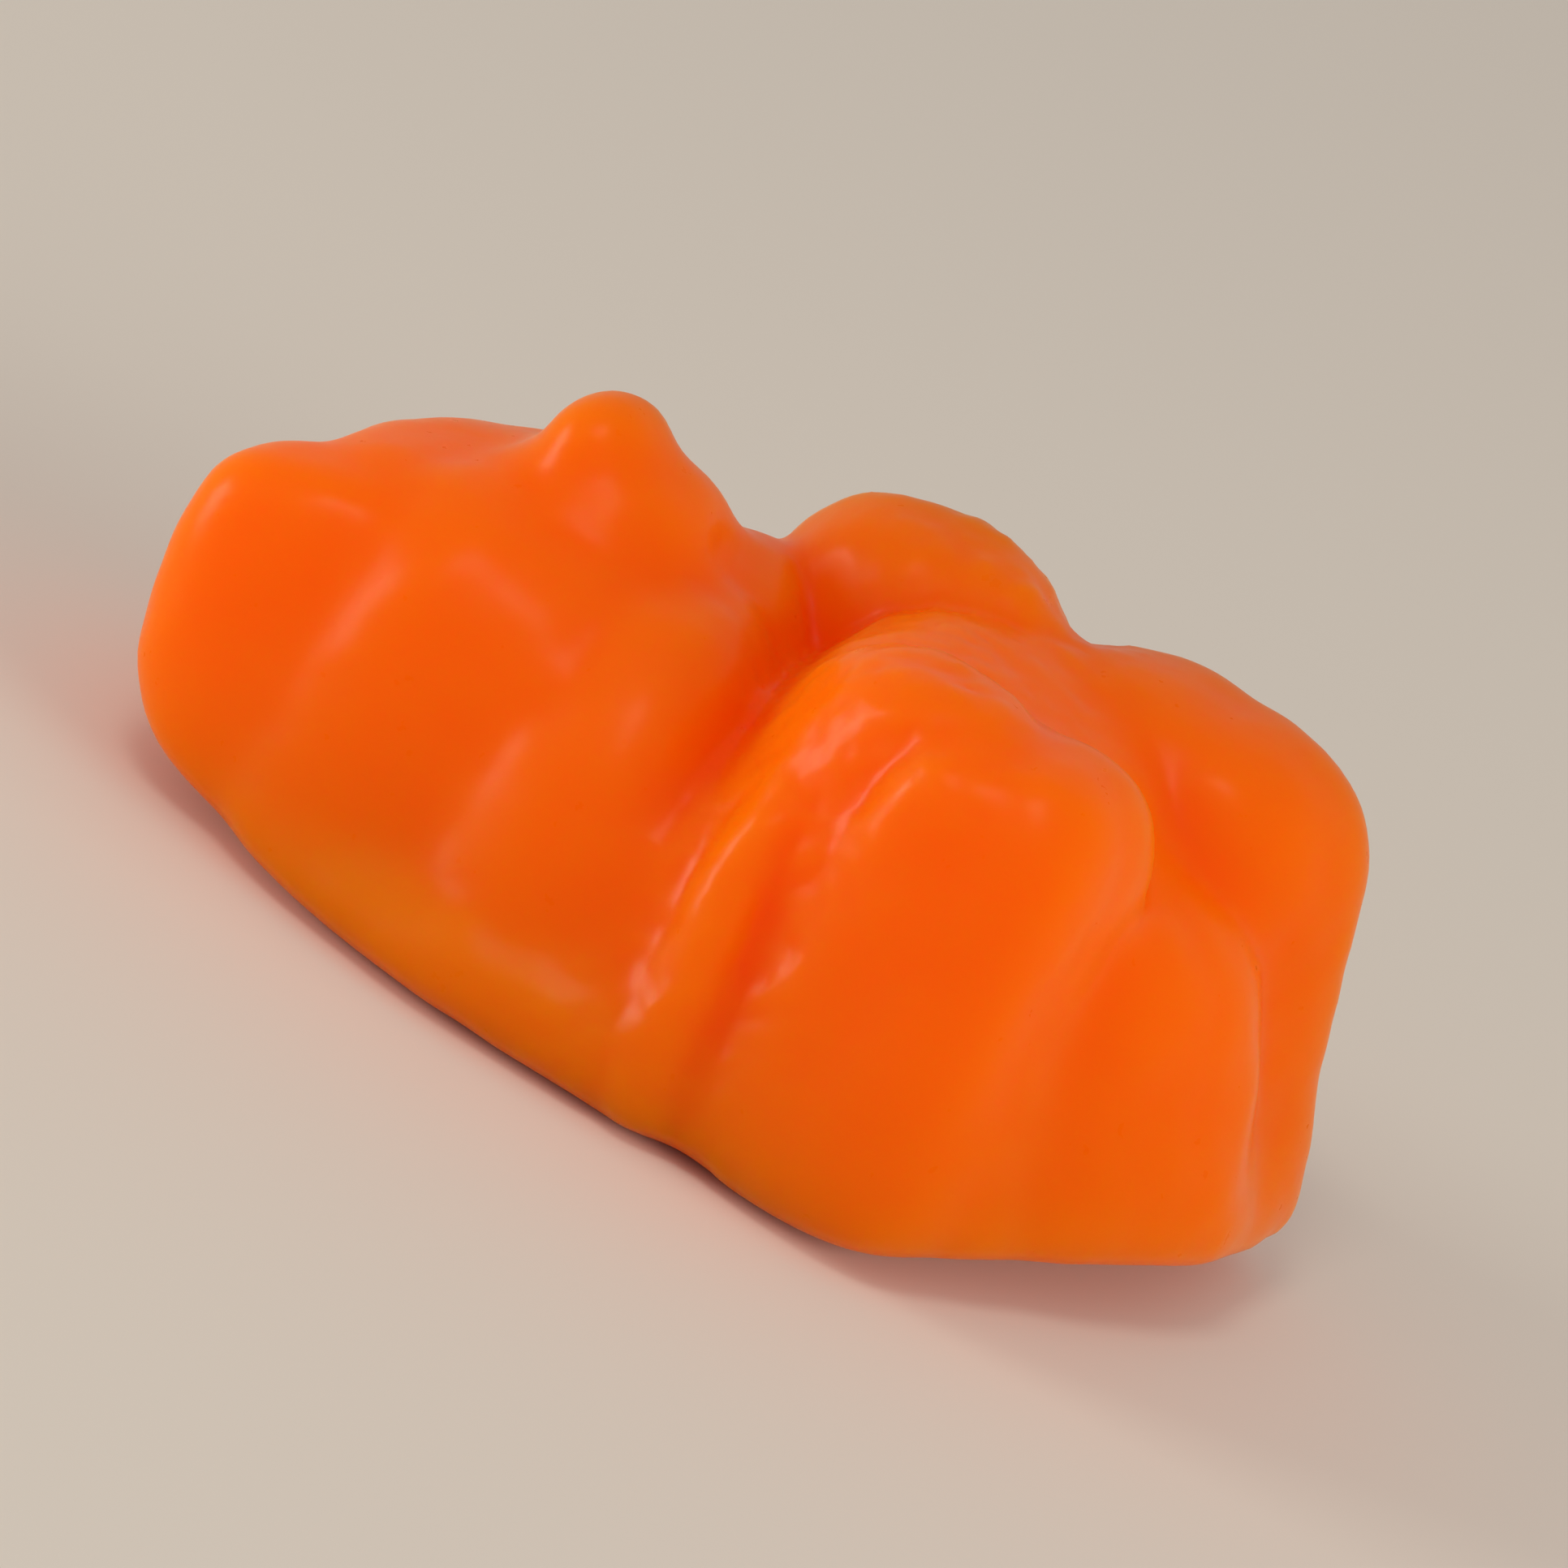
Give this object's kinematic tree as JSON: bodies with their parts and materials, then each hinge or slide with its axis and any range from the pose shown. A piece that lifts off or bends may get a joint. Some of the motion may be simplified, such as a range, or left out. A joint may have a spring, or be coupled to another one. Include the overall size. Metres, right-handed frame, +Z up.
{
  "type": "gummy bear",
  "caption": "Orange fruit jelly sweet shaped as a sitting bear, cast in one piece, lying on its flat back with its belly up.",
  "frame": {"origin": "middle of the base, on the surface that the bear lies on", "axes": "+X towards the feet, -X towards the head, +Z up, out of the belly"},
  "size_m": [0.022, 0.0134, 0.0093],
  "materials": {
    "orange_jelly": "translucent set gelatine, soft wax gloss"
  },
  "bodies": {
    "root": {"bear": "orange_jelly"}
  },
  "joints": []
}
